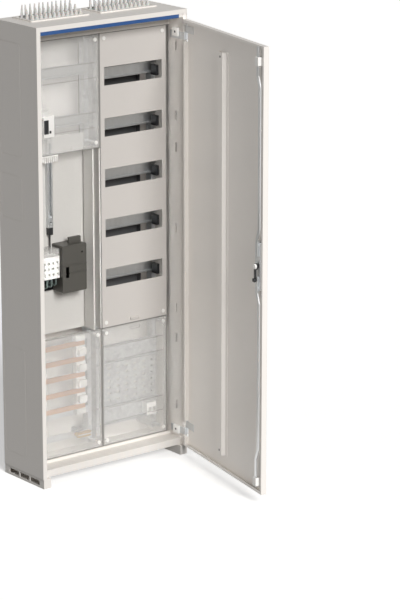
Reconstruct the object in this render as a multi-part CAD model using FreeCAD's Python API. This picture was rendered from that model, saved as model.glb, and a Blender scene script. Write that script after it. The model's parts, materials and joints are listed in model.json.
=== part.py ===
"""Two-field wall distribution and meter cabinet, standing on foot rails with its door open.

Frame: millimetres, +Z up, -Y is the front, +X is the hinge side.
The origin is the middle of the footprint, on the plane of the feet.
The door's rest pose is open, so its pieces are drawn closed and turned open at the end.
"""
import os

import FreeCAD, Part

V = FreeCAD.Vector

# ---- driving dimensions -------------------------------------------------------------------------
WIDTH = 550.0
DEPTH = 205.0
HEIGHT = 1400.0
SHEET = 1.5                 # body sheet
RIM = 14.0                  # face of the front frame beside and above the door
FOOT_HEIGHT = 30.0
FOOT_WIDTH = 26.0
FOOT_WALL = 2.0
COVER_RECESS = 70.0         # from the front plane back to the covers
COVER_SHEET = 2.0
COVER_RIM = 16.0            # depth of a cover's turned edge
COVER_GAP = 1.0
LOWER_COVER = 376.0
METER_COVER = 343.0         # height of the upper meter cover
COVER_BOTTOM = 62.0
HEAD_APRON = 41.0           # from the head rail down to the covers
SLOT_WIDTH = 216.0          # twelve 18 mm modules
SLOT_HEIGHT = 56.0
SLOT_PITCH = 155.0
SLOT_COUNT = 5
SLOT_RISE = 12.5            # middle slot above the middle of its cover
DOOR_DEPTH = 17.0
DOOR_PROUD = 4.5
DOOR_SHEET = 1.5
DOOR_LIP = 9.0
DOOR_LIFT = 5.0             # door's lower edge above the foot rails
DOOR_DROP = 3.0             # door's upper edge below the title strip
DOOR_GAP = 2.5
DOOR_ANGLE = 78.0           # how far open the door stands at rest
HINGE_GAP = 3.5
HINGE_RADIUS = 4.0
HINGE_PIN_RADIUS = 2.0
HINGE_FIT = 0.06            # radial clearance of pin in door knuckle
HINGE_SEAT = 2.0            # from the front plane to the knuckle
HINGE_FROM_TOP = 42.0
HINGE_FROM_BOTTOM = 53.0
TITLE_STRIP = 11.0
SEAT = 0.3                  # clearance where a removable piece seats
RAIL_HEIGHT = 35.0
RAIL_DEPTH = 7.5
RAIL_SHEET = 1.0
RAIL_SETBACK = 46.5         # from the covers' plane back to the field uprights' front faces
UPRIGHT_WIDTH = 15.0
UPRIGHT_DEPTH = 25.0
BUSBAR_HEIGHT = 15.0
BUSBAR_THICK = 5.0
BUSBAR_PITCH = 50.0
BUSBAR_RISE = 235.0         # middle bar above the covers' lower edge
NOZZLE_ROWS = 3
NOZZLES_PER_ROW = 10
ROD_WIDTH = 12.0
ROD_THICK = 3.0
LOCK_RISE = 24.5            # spindle above the door's middle
WALL_HOLE_RADIUS = 4.5
FOOT_HOLE_RADIUS = 4.5

# ---- dependent sizes ----------------------------------------------------------------------------
HALF = WIDTH / 2
FRONT = -DEPTH / 2
BACK = DEPTH / 2
INNER = HALF - RIM                          # inner face of the stiles
COVER_PLANE = FRONT + COVER_RECESS
RAIL_FACE = COVER_PLANE + RAIL_SETBACK
STILE_BACK = COVER_PLANE + 4.0
FIELD = WIDTH / 2 - 25.0                    # one field is 250 wide
FIELD_MIDDLE = FIELD / 2
HEAD_BOTTOM = HEIGHT - RIM
COVER_TOP = HEAD_BOTTOM - HEAD_APRON
COVER_SPLIT = COVER_BOTTOM + LOWER_COVER
METER_COVER_BOTTOM = COVER_TOP - METER_COVER
SLOT_MIDDLE = (COVER_SPLIT + COVER_TOP) / 2 + SLOT_RISE
DOOR_BOTTOM = FOOT_HEIGHT + DOOR_LIFT
DOOR_TOP = HEAD_BOTTOM - TITLE_STRIP - DOOR_DROP
HINGE_TOP = DOOR_TOP - HINGE_FROM_TOP
HINGE_BOTTOM = DOOR_BOTTOM + HINGE_FROM_BOTTOM
LOCK_MIDDLE = (DOOR_BOTTOM + DOOR_TOP) / 2 + LOCK_RISE
BUSBAR_MIDDLE = COVER_BOTTOM + BUSBAR_RISE
DOOR_FRONT = FRONT - DOOR_PROUD             # door's outer face when closed
SILL_FRONT = DOOR_FRONT + DOOR_DEPTH + 1.5
SILL_TOP = FOOT_HEIGHT + 22.0
DOOR_LEFT = -INNER + DOOR_GAP
DOOR_RIGHT = INNER - HINGE_GAP
PIVOT = V(INNER + 9.0, FRONT - HINGE_SEAT - HINGE_RADIUS, 0)
UPRIGHT_OFFSET = SLOT_WIDTH / 2 + 1.0       # from a field's middle to an upright's middle
ROD_PLANE = DOOR_FRONT + DOOR_DEPTH + 4.0   # front face of the closed door's lock rods
ROD_MIDDLE = DOOR_LEFT + 12.0
ROD_END = DOOR_LEFT + 24.0


# ---- helpers ------------------------------------------------------------------------------------
def block(x0, x1, y0, y1, z0, z1):
    return Part.makeBox(x1 - x0, y1 - y0, z1 - z0, V(x0, y0, z0))


def pin(radius, start, direction, length):
    return Part.makeCylinder(radius, length, start, direction)


def rounded(x0, x1, y0, y1, z0, z1, radius):
    """A block whose four edges along Y are rounded."""
    body = block(x0, x1, y0, y1, z0, z1)
    edges = [e for e in body.Edges if abs(e.tangentAt(e.FirstParameter).y) > 0.99]
    return body.makeFillet(radius, edges)


def fuse(shapes):
    shapes = list(shapes)
    return shapes[0].multiFuse(shapes[1:]).removeSplitter() if len(shapes) > 1 else shapes[0]


def cut(body, tools):
    tools = list(tools)
    return body.cut(Part.makeCompound(tools)).removeSplitter() if tools else body


def mirror_x(shape):
    return shape.mirror(V(0, 0, 0), V(1, 0, 0))


def extrude_x(points, x0, x1):
    """A bent sheet or bar whose (y, z) outline is given, drawn out along X."""
    wire = Part.makePolygon([V(x0, y, z) for y, z in points] + [V(x0, *points[0])])
    return Part.Face(wire).extrude(V(x1 - x0, 0, 0))


def extrude_z(points, z0, z1):
    wire = Part.makePolygon([V(x, y, z0) for x, y in points] + [V(*points[0], z0)])
    return Part.Face(wire).extrude(V(0, 0, z1 - z0))


def open_door(shape):
    """Turn a door piece drawn closed to its rest pose."""
    shape = shape.copy()
    shape.rotate(PIVOT, V(0, 0, 1), DOOR_ANGLE)
    return shape


NODES = []


def export(name, *solids):
    os.makedirs("parts", exist_ok=True)
    shape = solids[0] if len(solids) == 1 else Part.makeCompound(list(solids))
    shape.exportStep(f"parts/{name}.step")
    NODES.append(name)


# ---- casing -------------------------------------------------------------------------------------
KNOCKOUT_WIDTH = 110.0
KNOCKOUT_MIDDLE = BACK - 64.5
KNOCKOUT_LINE = 1.6
KNOCKOUT_DEPTH = 0.6


def knockout(z0, z1):
    """Outline of a stamped knock-out on the outside of the right wall."""
    y0, y1 = KNOCKOUT_MIDDLE - KNOCKOUT_WIDTH / 2, KNOCKOUT_MIDDLE + KNOCKOUT_WIDTH / 2
    spans = ((y0, y1, z0, z1, 12.0), (y0 + KNOCKOUT_LINE, y1 - KNOCKOUT_LINE,
                                      z0 + KNOCKOUT_LINE, z1 - KNOCKOUT_LINE, 12.0 - KNOCKOUT_LINE))
    loops = []
    for a, b, c, d, radius in spans:
        body = block(HALF - KNOCKOUT_DEPTH, HALF + 1, a, b, c, d)
        loops.append(body.makeFillet(radius, [e for e in body.Edges
                                              if abs(e.tangentAt(e.FirstParameter).x) > 0.99]))
    return loops[0].cut(loops[1])


def side_wall():
    wall = block(HALF - SHEET, HALF, FRONT + SHEET, BACK, FOOT_HEIGHT, HEIGHT - SHEET)
    tall = 338.0
    low = 78.0
    middle = HEIGHT / 2 + 110.0
    return cut(wall, [knockout(low, low + tall), knockout(middle, middle + 136.0),
                      knockout(HEIGHT - low + 20 - tall, HEIGHT - low + 20)])


WALL_HOLE_X = HALF - 50.0
WALL_HOLE_Z = (110.0, HEIGHT - 90.0)


def back_wall():
    wall = block(-HALF + SHEET, HALF - SHEET, BACK - SHEET, BACK, FOOT_HEIGHT, HEIGHT - SHEET)
    holes = [pin(WALL_HOLE_RADIUS, V(x, BACK - 5, z), V(0, 1, 0), 10)
             for x in (-WALL_HOLE_X, WALL_HOLE_X) for z in WALL_HOLE_Z]
    return cut(wall, holes)


FLANGE_WIDTH = 210.0
FLANGE_BACK = BACK - 18.5
FLANGE_FRONT = FLANGE_BACK - 100.0
FLANGE_LIP = 4.0
FLANGE_EDGE = 9.0


def top_panel():
    panel = block(-HALF, HALF, FRONT + SHEET, BACK, HEIGHT - SHEET, HEIGHT)
    inset = FLANGE_EDGE - 2.0
    openings = [block(x - FLANGE_WIDTH / 2 + inset, x + FLANGE_WIDTH / 2 - inset,
                      FLANGE_FRONT + inset, FLANGE_BACK - inset, HEIGHT - 5, HEIGHT + 5)
                for x in (-FIELD_MIDDLE, FIELD_MIDDLE)]
    return cut(panel, openings)


def bottom_panel():
    return block(-HALF + SHEET, HALF - SHEET, STILE_BACK, BACK - SHEET, FOOT_HEIGHT,
                 FOOT_HEIGHT + SHEET)


STILE_SLOTS = (0.0, 253.0, 350.0, 565.0)    # slot heights, above and below the middle
STILE_MIDDLE = HEIGHT / 2 + 20.0
STILE_SLOT_FRONT = COVER_PLANE - 36.5
STILE_SLOT_WIDTH = 7.0
STILE_SLOT_HALF = 14.0      # half the height of a slot


def stile():
    """The right front post: face, inner web with its slots, and a back flange to the side wall."""
    face = block(INNER, HALF, FRONT, FRONT + SHEET, FOOT_HEIGHT, HEAD_BOTTOM)
    web = block(INNER, INNER + SHEET, FRONT, STILE_BACK, FOOT_HEIGHT, HEAD_BOTTOM)
    flange = block(INNER, HALF - SHEET, STILE_BACK - SHEET, STILE_BACK, FOOT_HEIGHT,
                   HEAD_BOTTOM)
    heights = [STILE_MIDDLE + side * z for z in STILE_SLOTS for side in ((-1, 1) if z else (1,))]
    slots = [block(INNER - 1, INNER + SHEET + 1, STILE_SLOT_FRONT,
                   STILE_SLOT_FRONT + STILE_SLOT_WIDTH, z - STILE_SLOT_HALF, z + STILE_SLOT_HALF)
             for z in heights]
    return cut(fuse([face, web, flange]), slots)


def head_rail():
    """Top front member: face, rounded top edge, ledge over the covers, apron and strip lip."""
    face = block(-HALF, HALF, FRONT, FRONT + SHEET, HEAD_BOTTOM, HEIGHT)
    ledge = block(-INNER, INNER, FRONT, COVER_PLANE, HEAD_BOTTOM, HEAD_BOTTOM + SHEET)
    apron = block(-INNER, INNER, COVER_PLANE - SHEET, COVER_PLANE, COVER_TOP + COVER_GAP,
                  HEAD_BOTTOM + SHEET)
    lip = block(-INNER, INNER, FRONT + 3.0, FRONT + 3.0 + SHEET, HEAD_BOTTOM - TITLE_STRIP,
                HEAD_BOTTOM)
    return fuse([face, ledge, apron, lip])


def title_strip():
    return block(-INNER + 1, INNER - 16, FRONT + 0.5, FRONT + 3.0, HEAD_BOTTOM - TITLE_STRIP,
                 HEAD_BOTTOM)


def sill():
    face = block(-INNER, INNER, SILL_FRONT, SILL_FRONT + SHEET, FOOT_HEIGHT, SILL_TOP)
    ledge = block(-INNER, INNER, SILL_FRONT, COVER_PLANE, SILL_TOP - SHEET, SILL_TOP)
    apron = block(-INNER, INNER, COVER_PLANE - SHEET, COVER_PLANE, SILL_TOP - SHEET,
                  COVER_BOTTOM - COVER_GAP)
    foot = block(-INNER, INNER, COVER_PLANE - SHEET, COVER_PLANE, FOOT_HEIGHT, SILL_TOP)
    keeper = block(ROD_END - ROD_WIDTH / 2 - 2, ROD_END + ROD_WIDTH / 2 + 2, ROD_PLANE - 1.2,
                   ROD_PLANE + ROD_THICK + 2, SILL_TOP - 5, SILL_TOP + 5)
    return cut(fuse([face, ledge, apron, foot]), [keeper])


FOOT_HOLE_Y = 75.0
FOOT_WINDOWS = 3


def foot_rail():
    """A hollow rail under the right side wall, with windows on its outer side."""
    x0, x1 = HALF - 2 - FOOT_WIDTH, HALF - 2
    body = block(x0, x1, FRONT, BACK, 0, FOOT_HEIGHT)
    hollow = block(x0 + FOOT_WALL, x1 - FOOT_WALL, FRONT + FOOT_WALL, BACK - FOOT_WALL, FOOT_WALL,
                   FOOT_HEIGHT - FOOT_WALL)
    length = (DEPTH - 60.0) / FOOT_WINDOWS
    windows = [block(x1 - FOOT_WALL - 1, x1 + 1, FRONT + 24 + i * (length + 6),
                     FRONT + 24 + i * (length + 6) + length, 7, 22) for i in range(FOOT_WINDOWS)]
    holes = [pin(FOOT_HOLE_RADIUS, V((x0 + x1) / 2, y, -1), V(0, 0, 1), FOOT_WALL + 2)
             for y in (-FOOT_HOLE_Y, FOOT_HOLE_Y)]
    return cut(body, [hollow] + windows + holes)


def cable_flange(middle):
    """Raised frame round one field's cable opening."""
    half = FLANGE_WIDTH / 2
    outer = block(middle - half, middle + half, FLANGE_FRONT, FLANGE_BACK, HEIGHT,
                  HEIGHT + FLANGE_LIP)
    edges = [e for e in outer.Edges if abs(e.tangentAt(e.FirstParameter).z) > 0.99]
    outer = outer.makeFillet(5.0, edges)
    hole = block(middle - half + FLANGE_EDGE, middle + half - FLANGE_EDGE,
                 FLANGE_FRONT + FLANGE_EDGE, FLANGE_BACK - FLANGE_EDGE, HEIGHT - 1,
                 HEIGHT + FLANGE_LIP + 1)
    return outer.cut(hole)


def nozzle_strip(middle):
    """Soft membrane with rows of closed cable fingers, taller towards the back."""
    half = FLANGE_WIDTH / 2 - FLANGE_EDGE
    y0, y1 = FLANGE_FRONT + FLANGE_EDGE, FLANGE_BACK - FLANGE_EDGE
    pieces = [block(middle - half, middle + half, y0, y1, HEIGHT, HEIGHT + 2.0)]
    pitch = (2 * half - 4) / NOZZLES_PER_ROW
    for row in range(NOZZLE_ROWS):
        y = y0 + (y1 - y0) * (row + 0.5) / NOZZLE_ROWS
        tall = 18.0 + 11.0 * row
        wide = 8.0 - 1.0 * row
        for i in range(NOZZLES_PER_ROW):
            x = middle + (i - (NOZZLES_PER_ROW - 1) / 2) * pitch
            pieces.append(Part.makeCone(wide, wide * 0.42, tall, V(x, y, HEIGHT + 1.0)))
    return fuse(pieces)


# ---- field frame and distribution field -----------------------------------------------------------
UPRIGHT_BOTTOM = COVER_BOTTOM + 4
UPRIGHT_TOP = COVER_TOP - 4
FASTENER_INSET = 16.0
POST_RADIUS = 5.0
POST_END = COVER_PLANE + COVER_RIM + COVER_SHEET


def cover_spans():
    """Field side (-1 left, 1 right), low and high edge of each cover."""
    gap = COVER_GAP / 2
    return {
        "distribution_cover": (1, COVER_SPLIT + gap, COVER_TOP),
        "data_cover": (1, COVER_BOTTOM, COVER_SPLIT - gap),
        "upper_meter_cover": (-1, METER_COVER_BOTTOM, COVER_TOP),
        "busbar_cover": (-1, COVER_BOTTOM, COVER_SPLIT - gap),
    }


def upright(middle, heights):
    """A vertical field profile on two feet, with a post behind each cover fastener."""
    x0, x1 = middle - UPRIGHT_WIDTH / 2, middle + UPRIGHT_WIDTH / 2
    rear = RAIL_FACE + UPRIGHT_DEPTH
    pieces = [block(x0, x1, RAIL_FACE, rear, UPRIGHT_BOTTOM, UPRIGHT_TOP)]
    for z in (UPRIGHT_BOTTOM, UPRIGHT_TOP - 30):
        pieces.append(block(x0, x1, rear, BACK - SHEET, z, z + 30))
    for z in heights:
        pieces.append(pin(POST_RADIUS, V(middle, RAIL_FACE, z), V(0, -1, 0), RAIL_FACE - POST_END))
    return fuse(pieces)


def field_uprights():
    out = []
    for side in (-1, 1):
        heights = [z for s, low, high in cover_spans().values() if s == side
                   for z in (low + FASTENER_INSET, high - FASTENER_INSET)]
        for hand in (-1, 1):
            out.append(upright(side * FIELD_MIDDLE + hand * UPRIGHT_OFFSET, heights))
    return out


def slot_heights():
    return [SLOT_MIDDLE + (i - (SLOT_COUNT - 1) / 2) * SLOT_PITCH for i in range(SLOT_COUNT)]


def hat_rail(z, x0, x1):
    """Standard 35 mm hat rail lying on the uprights, its open side to the front."""
    half = RAIL_HEIGHT / 2
    front, back = RAIL_FACE - RAIL_DEPTH, RAIL_FACE
    web, lip = 13.5, RAIL_SHEET
    outline = [(front, -half), (front + lip, -half), (front + lip, -web - lip), (back, -web - lip),
               (back, web + lip), (front + lip, web + lip), (front + lip, half), (front, half),
               (front, web), (back - lip, web), (back - lip, -web), (front, -web)]
    return extrude_x([(y, z + h) for y, h in outline], x0, x1)


def end_stop(z):
    """Clamp that ends a row of devices, gripping the rail's two lips."""
    x1 = FIELD_MIDDLE + SLOT_WIDTH / 2 - 2
    front = RAIL_FACE - RAIL_DEPTH
    body = block(x1 - 9.5, x1, front - 26, front, z - 23, z + 8)
    grip = block(x1 - 9.5, x1, front, front + RAIL_SHEET + 2, -RAIL_HEIGHT / 2 - 2.5 + z,
                 -RAIL_HEIGHT / 2 + z)
    return fuse([body, grip])


# ---- covers -------------------------------------------------------------------------------------
def cover(side, low, high, slots=()):
    """A shallow tray: front sheet with turned edges, finger recess and fastener holes."""
    x0 = side * FIELD_MIDDLE - FIELD / 2 + COVER_GAP / 2
    x1 = x0 + FIELD - COVER_GAP
    y0, y1 = COVER_PLANE, COVER_PLANE + COVER_RIM
    tray = block(x0, x1, y0, y1, low, high)
    tray = tray.makeFillet(1.2, [e for e in tray.Edges if e.CenterOfMass.y < y0 + 0.1])
    hollow = block(x0 + COVER_SHEET, x1 - COVER_SHEET, y0 + COVER_SHEET, y1 + 1,
                   low + COVER_SHEET, high - COVER_SHEET)
    holes = [pin(3.2, V(x, y0 - 5, z), V(0, 1, 0), 10) for x, z in fastener_places(side, low, high)]
    windows = [rounded(side * FIELD_MIDDLE - SLOT_WIDTH / 2, side * FIELD_MIDDLE + SLOT_WIDTH / 2,
                       y0 - 5, y0 + 5, z - SLOT_HEIGHT / 2, z + SLOT_HEIGHT / 2, 2.0) for z in slots]
    return cut(tray, [hollow] + holes + windows)


def fastener_places(side, low, high):
    return [(side * FIELD_MIDDLE + hand * UPRIGHT_OFFSET, z)
            for hand in (-1, 1) for z in (low + FASTENER_INSET, high - FASTENER_INSET)]


def cover_fastener(x, z):
    """Quarter-turn stud: slotted head on the cover, shank back to its post."""
    head = pin(6.0, V(x, COVER_PLANE, z), V(0, -1, 0), 2.2)
    shank = pin(3.0, V(x, COVER_PLANE, z), V(0, 1, 0), POST_END - SEAT - COVER_PLANE)
    slot = block(x - 4.5, x + 4.5, COVER_PLANE - 3, COVER_PLANE - 1.2, z - 0.7, z + 0.7)
    return fuse([head, shank]).cut(slot)


def pull_recess(side, z, hand):
    """Small grip moulded on a cover at its edge."""
    x = side * FIELD_MIDDLE
    grip = rounded(x - 17, x + 17, COVER_PLANE - 4.0, COVER_PLANE, z - 5, z + 5, 3.0)
    groove = block(x - 13, x + 13, COVER_PLANE - 5, COVER_PLANE - 1.5,
                   z + hand * 2 - 1.6, z + hand * 2 + 1.6)
    return grip.cut(groove)


# ---- meter field --------------------------------------------------------------------------------
METER_PLATE_FACE = RAIL_FACE + 5.0
METER_PLATE_THICK = 3.0
METER_PLATE_FIT = 0.8       # each side, between the uprights
METER_PLATE_TUCK = 40.0     # up behind the upper meter cover
CHANNEL_WIDTH = 29.0
CHANNEL_LIP = 5.0
METER_BAR_X = -FIELD_MIDDLE - 33.0
HANGER_WIDTH = 17.0
HANGER_DEPTH = 14.0


def meter_channels():
    """Side ducts of the meter space: open-fronted troughs with lips, on the uprights' faces."""
    out = []
    for hand in (-1, 1):
        x0 = -FIELD_MIDDLE + hand * UPRIGHT_OFFSET - CHANNEL_WIDTH / 2 + hand * 0.5
        x1, y0, y1 = x0 + CHANNEL_WIDTH, COVER_PLANE, RAIL_FACE - SEAT
        low, high = COVER_SPLIT + 2, METER_COVER_BOTTOM - 2
        shell = block(x0, x1, y0, y1, low, high)
        hollow = block(x0 + SHEET, x1 - SHEET, y0 + SHEET, y1 - SHEET, low - 1, high + 1)
        mouth = block(x0 + CHANNEL_LIP, x1 - CHANNEL_LIP, y0 - 1, y0 + SHEET + 1, low - 1, high + 1)
        out.append(cut(shell, [hollow, mouth]))
    return out


def meter_plate():
    reach = UPRIGHT_OFFSET - UPRIGHT_WIDTH / 2 - METER_PLATE_FIT
    return block(-FIELD_MIDDLE - reach, -FIELD_MIDDLE + reach, METER_PLATE_FACE,
                 METER_PLATE_FACE + METER_PLATE_THICK, COVER_SPLIT + 2,
                 METER_COVER_BOTTOM + METER_PLATE_TUCK)


TERMINAL_LEFT = -FIELD_MIDDLE - 84.0
TERMINAL_RIGHT = TERMINAL_LEFT + 60.0
TERMINAL_BOTTOM = COVER_SPLIT + 184.0
TERMINAL_TOP = TERMINAL_BOTTOM + 68.0
TERMINAL_FRONT = COVER_PLANE + 8.5
TERMINAL_COLUMNS = 4
TERMINAL_ROWS = 3
LID_HEIGHT = 22.0
HANGER_LOW = TERMINAL_TOP + 81.0
FITTING_HEIGHT = 22.0


def hanger_bar():
    """Slotted U-profile that carries the meter's upper hook."""
    half, top, low = HANGER_WIDTH / 2, METER_COVER_BOTTOM + METER_PLATE_TUCK, HANGER_LOW
    y0 = METER_PLATE_FACE - HANGER_DEPTH
    bar = block(METER_BAR_X - half, METER_BAR_X + half, y0, METER_PLATE_FACE, low, top)
    hollow = block(METER_BAR_X - half + 2, METER_BAR_X + half - 2, y0 + 2, METER_PLATE_FACE - 2,
                   low - 1, top + 1)
    slot = block(METER_BAR_X - 2.5, METER_BAR_X + 2.5, y0 - 1, y0 + 3, low + 14, top - 14)
    return cut(bar, [hollow, slot])


def meter_hook():
    """Sliding hook in the bar's slot: nut inside, neck, and a hook plate in front."""
    z, y0 = HANGER_LOW + 29.0, METER_PLATE_FACE - HANGER_DEPTH
    nut = block(METER_BAR_X - 5.5, METER_BAR_X + 5.5, y0 + 2.3, y0 + 6, z - 8, z + 8)
    neck = block(METER_BAR_X - 2.2, METER_BAR_X + 2.2, y0 - 0.5, y0 + 2.3, z - 6, z + 6)
    plate = rounded(METER_BAR_X - 7, METER_BAR_X + 7, y0 - 2.3, y0 - 0.3, z - 10, z + 10, 3.0)
    tip = pin(3.0, V(METER_BAR_X, y0 - 2.3, z + 3), V(0, -1, 0), 5.0)
    return fuse([nut, neck, plate, tip])


def terminal_block():
    """Meter connection block with rows of conductor funnels."""
    body = block(TERMINAL_LEFT, TERMINAL_RIGHT, TERMINAL_FRONT, METER_PLATE_FACE, TERMINAL_BOTTOM,
                 TERMINAL_TOP)
    pitch = (TERMINAL_RIGHT - TERMINAL_LEFT) / TERMINAL_COLUMNS
    rise = (TERMINAL_TOP - TERMINAL_BOTTOM) / (TERMINAL_ROWS + 1)
    holes = [block(TERMINAL_LEFT + (i + 0.5) * pitch - 3.5, TERMINAL_LEFT + (i + 0.5) * pitch + 3.5,
                   TERMINAL_FRONT - 1, TERMINAL_FRONT + 12, TERMINAL_BOTTOM + (j + 0.8) * rise - 4,
                   TERMINAL_BOTTOM + (j + 0.8) * rise + 4)
             for i in range(TERMINAL_COLUMNS) for j in range(TERMINAL_ROWS)]
    return cut(body, holes)


def terminal_lid():
    """Clear box seated on the block's top."""
    box = block(TERMINAL_LEFT, TERMINAL_RIGHT, TERMINAL_FRONT, METER_PLATE_FACE, TERMINAL_TOP,
                TERMINAL_TOP + LID_HEIGHT)
    hollow = block(TERMINAL_LEFT + 1.5, TERMINAL_RIGHT - 1.5, TERMINAL_FRONT + 1.5,
                   METER_PLATE_FACE - 1.5, TERMINAL_TOP - 1, TERMINAL_TOP + LID_HEIGHT - 1.5)
    hole = pin(2.6, V(METER_BAR_X, METER_PLATE_FACE - 8, TERMINAL_TOP + LID_HEIGHT - 3), V(0, 0, 1), 5)
    return cut(box, [hollow, hole])


def meter_rod():
    """Thin rod from the hanger bar's end fitting down to the connection block."""
    y = METER_PLATE_FACE - 8
    rod = pin(2.2, V(METER_BAR_X, y, TERMINAL_TOP), V(0, 0, 1),
              HANGER_LOW - TERMINAL_TOP - FITTING_HEIGHT)
    fitting = block(METER_BAR_X - 7, METER_BAR_X + 7, METER_PLATE_FACE - 15, METER_PLATE_FACE,
                    HANGER_LOW - FITTING_HEIGHT, HANGER_LOW)
    return fuse([rod, fitting])


WIRE_RADIUS = 2.8


def terminal_wires():
    """Short conductors that leave the block downwards and turn back into the plate."""
    out = []
    count = 7
    for i in range(count):
        x = TERMINAL_LEFT + 6 + i * (TERMINAL_RIGHT - TERMINAL_LEFT - 12) / (count - 1)
        y = TERMINAL_FRONT + 12 + (i % 2) * 8
        drop, radius = 14.0 + 3 * (i % 3), 12.0
        end = METER_PLATE_FACE - y - radius
        z = TERMINAL_BOTTOM - drop
        arc = Part.Arc(V(x, y, z), V(x, y + radius * (1 - 0.5 ** 0.5), z - radius * 0.5 ** 0.5),
                       V(x, y + radius, z - radius)).toShape()
        path = Part.Wire([Part.makeLine(V(x, y, TERMINAL_BOTTOM), V(x, y, z)), arc,
                          Part.makeLine(V(x, y + radius, z - radius),
                                        V(x, y + radius + end, z - radius))])
        ring = Part.Wire(Part.makeCircle(WIRE_RADIUS, V(x, y, TERMINAL_BOTTOM), V(0, 0, 1)))
        out.append(path.makePipeShell([ring], True, False))
    return out


HOOD_LEFT = TERMINAL_RIGHT + 3.0
HOOD_RIGHT = HOOD_LEFT + 88.0
HOOD_BOTTOM = TERMINAL_BOTTOM - 48.0
HOOD_TOP = HOOD_BOTTOM + 145.0
HOOD_FRONT = COVER_PLANE - 3.5


def terminal_hood():
    """Dark sealing hood over the meter terminals, with two ribs, a window and a sealing lug."""
    y1 = METER_PLATE_FACE - SEAT
    shell = rounded(HOOD_LEFT, HOOD_RIGHT, HOOD_FRONT, y1, HOOD_BOTTOM, HOOD_TOP, 4.0)
    hollow = block(HOOD_LEFT + 2, HOOD_RIGHT - 2, HOOD_FRONT + 2, y1 + 1, HOOD_BOTTOM + 2,
                   HOOD_TOP - 2)
    lug = rounded(HOOD_RIGHT - 48, HOOD_RIGHT - 4, HOOD_FRONT + 22, HOOD_FRONT + 30, HOOD_TOP - 4,
                  HOOD_TOP + 18, 3.0)
    ribs = [block(HOOD_LEFT + 1, HOOD_RIGHT - 1, HOOD_FRONT - 2.5, HOOD_FRONT + 1, z, z + 3)
            for z in (HOOD_BOTTOM + 82, HOOD_BOTTOM + 58)]
    window = block(HOOD_LEFT + 12, HOOD_LEFT + 24, HOOD_FRONT - 4, HOOD_FRONT + 4,
                   HOOD_BOTTOM + 46, HOOD_BOTTOM + 79)
    hole = pin(3.0, V(HOOD_RIGHT - 16, HOOD_FRONT - 4, HOOD_TOP - 26), V(0, 1, 0), 8)
    return cut(fuse([shell, lug] + ribs), [hollow, window, hole])


SWITCH_LEFT = -FIELD_MIDDLE - 79.5
SWITCH_WIDTH = 36.0
SWITCH_MIDDLE = METER_COVER_BOTTOM + 86.0
METER_RAIL_PITCH = 150.0
TOGGLE_WIDTH = 17.0
TOGGLE_TILT = 22.0          # below level when off, which is the rest pose, and above it when on


def meter_field_rails():
    """The switch's rail and a spare one above it."""
    reach = UPRIGHT_OFFSET + UPRIGHT_WIDTH / 2
    return [hat_rail(z, -FIELD_MIDDLE - reach, -FIELD_MIDDLE + reach)
            for z in (SWITCH_MIDDLE, SWITCH_MIDDLE + METER_RAIL_PITCH)]


def switch_body():
    """Two-module main switch on the meter field's rail."""
    x1 = SWITCH_LEFT + SWITCH_WIDTH
    front = RAIL_FACE - RAIL_DEPTH
    deep = block(SWITCH_LEFT, x1, front - 16, front, SWITCH_MIDDLE - 42, SWITCH_MIDDLE + 42)
    nose = block(SWITCH_LEFT, x1, COVER_PLANE + 6, front - 16, SWITCH_MIDDLE - 23,
                 SWITCH_MIDDLE + 23)
    well = block(SWITCH_LEFT + 3, SWITCH_LEFT + 3 + TOGGLE_WIDTH + 1, COVER_PLANE, front - 12,
                 SWITCH_MIDDLE - 19, SWITCH_MIDDLE + 19)
    return cut(fuse([deep, nose]), [well])


def switch_toggle():
    """Rocker lever with its cross pin, set in the switch's well."""
    x0 = SWITCH_LEFT + 3.5
    y, z = COVER_PLANE + 15.0, SWITCH_MIDDLE
    barrel = pin(7.0, V(x0, y, z), V(1, 0, 0), TOGGLE_WIDTH)
    lever = block(x0, x0 + TOGGLE_WIDTH, y - 12.2, y, z - 3.5, z + 3.5)
    lever.rotate(V(0, y, z), V(1, 0, 0), TOGGLE_TILT)
    return fuse([barrel, lever])


# ---- busbar field --------------------------------------------------------------------------------
BUSBAR_LEFT = -FIELD_MIDDLE - 107.0
BUSBAR_RIGHT = BUSBAR_LEFT + 188.0
BUSBAR_FACE = RAIL_FACE - 16.0
SUPPORT_WIDTH = 34.0
EARTH_HEIGHT = COVER_BOTTOM + 42.0


def busbar_heights():
    return [BUSBAR_MIDDLE + (2 - i) * BUSBAR_PITCH for i in range(5)]


def busbar(z):
    return block(BUSBAR_LEFT, BUSBAR_RIGHT, BUSBAR_FACE, BUSBAR_FACE + BUSBAR_THICK,
                 z - BUSBAR_HEIGHT / 2, z + BUSBAR_HEIGHT / 2)


def busbar_supports():
    """Two comb-shaped insulators between the uprights' rails and the bars."""
    out = []
    heights = busbar_heights()
    low, high = heights[-1] - BUSBAR_PITCH / 2, heights[0] + BUSBAR_PITCH / 2
    for x0 in (BUSBAR_LEFT + 6, BUSBAR_RIGHT - SUPPORT_WIDTH):
        x1 = x0 + SUPPORT_WIDTH
        base = block(x0, x1, BUSBAR_FACE - 3, RAIL_FACE, low, high)
        teeth = [rounded(x0 + 3, x1 - 3, BUSBAR_FACE - 15, BUSBAR_FACE - 2,
                         z + BUSBAR_PITCH / 2 - 11, z + BUSBAR_PITCH / 2 + 11, 3.0)
                 for z in heights[1:]]
        seats = [block(x0 - 1, x1 + 1, BUSBAR_FACE - 4, BUSBAR_FACE + BUSBAR_THICK,
                       z - BUSBAR_HEIGHT / 2, z + BUSBAR_HEIGHT / 2) for z in heights]
        out.append(cut(fuse([base] + teeth), seats))
    return out


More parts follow.
